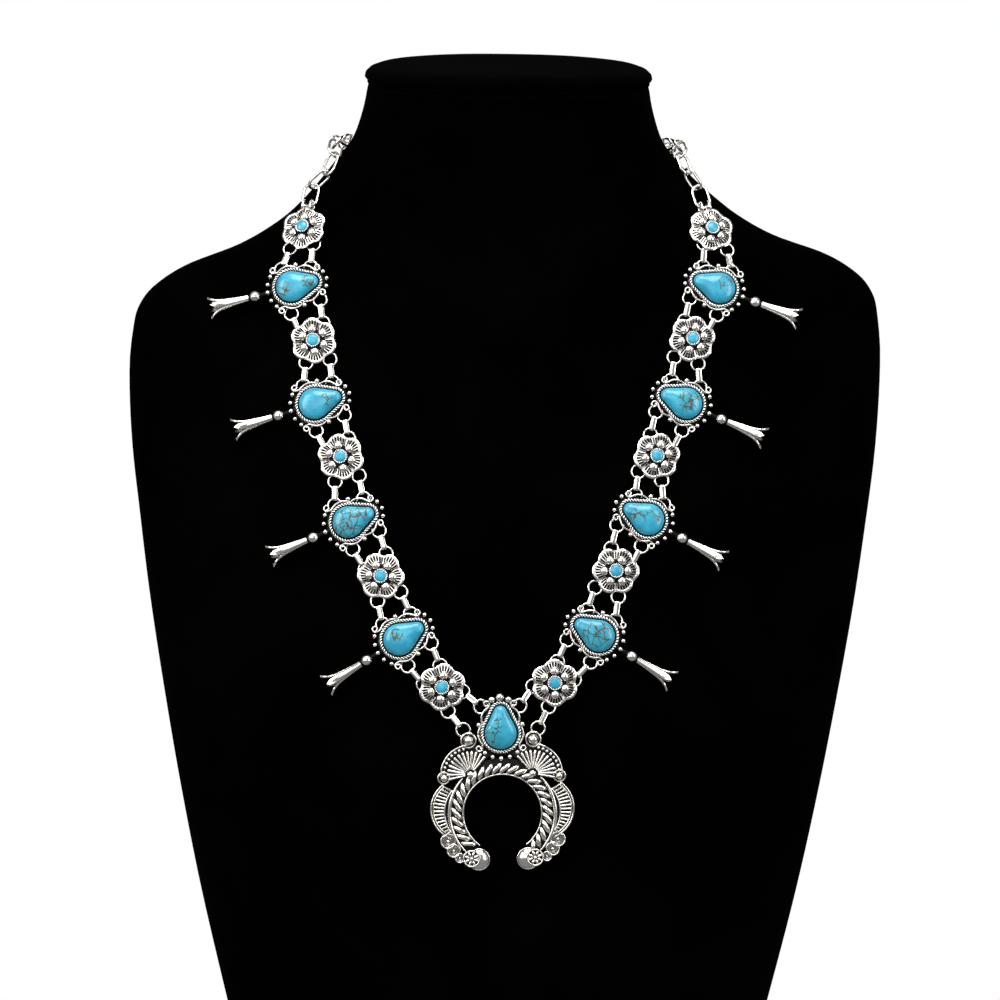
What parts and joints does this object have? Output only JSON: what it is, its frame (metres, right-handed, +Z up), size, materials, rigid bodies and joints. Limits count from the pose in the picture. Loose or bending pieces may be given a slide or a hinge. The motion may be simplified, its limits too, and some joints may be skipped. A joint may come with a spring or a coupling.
{
  "type": "squash blossom necklace on neck bust",
  "caption": "Squash blossom necklace of pear stones in scrolled silver settings, fluted flowers and a crescent naja pendant, on a padded velvet neck bust.",
  "frame": {"origin": "centre of the neck bust's flat base, in the middle plane of the shoulders", "axes": "+Z up the neck, -Y out of the chest towards the viewer, +X to the viewer's right"},
  "size_m": [0.329, 0.1351, 0.4337],
  "materials": {
    "antique_silver": "bright cast silver tone with black recesses",
    "turquoise": "polished sky-blue stone with dark brown veins",
    "velvet": "short-pile black velvet"
  },
  "bodies": {
    "root": {"neck_bust": "velvet", "neck_cap": "velvet", "naja": "antique_silver", "naja_stone": "turquoise", "chain_left": "antique_silver", "chain_right": "antique_silver", "clasp": "antique_silver", "links_left": "antique_silver", "links_right": "antique_silver", "flower_stones_left": "turquoise", "flower_stones_right": "turquoise", "setting_left_1": "antique_silver", "setting_left_2": "antique_silver", "setting_left_3": "antique_silver", "setting_left_4": "antique_silver", "setting_right_1": "antique_silver", "setting_right_2": "antique_silver", "setting_right_3": "antique_silver", "setting_right_4": "antique_silver", "stone_left_1": "turquoise", "stone_left_2": "turquoise", "stone_left_3": "turquoise", "stone_left_4": "turquoise", "stone_right_1": "turquoise", "stone_right_2": "turquoise", "stone_right_3": "turquoise", "stone_right_4": "turquoise", "blossom_left_1": "antique_silver", "blossom_left_2": "antique_silver", "blossom_left_3": "antique_silver", "blossom_left_4": "antique_silver", "blossom_right_1": "antique_silver", "blossom_right_2": "antique_silver", "blossom_right_3": "antique_silver", "blossom_right_4": "antique_silver", "flower_left_1": "antique_silver", "flower_left_2": "antique_silver", "flower_left_3": "antique_silver", "flower_left_4": "antique_silver", "flower_left_5": "antique_silver", "flower_right_1": "antique_silver", "flower_right_2": "antique_silver", "flower_right_3": "antique_silver", "flower_right_4": "antique_silver", "flower_right_5": "antique_silver"}
  },
  "joints": []
}
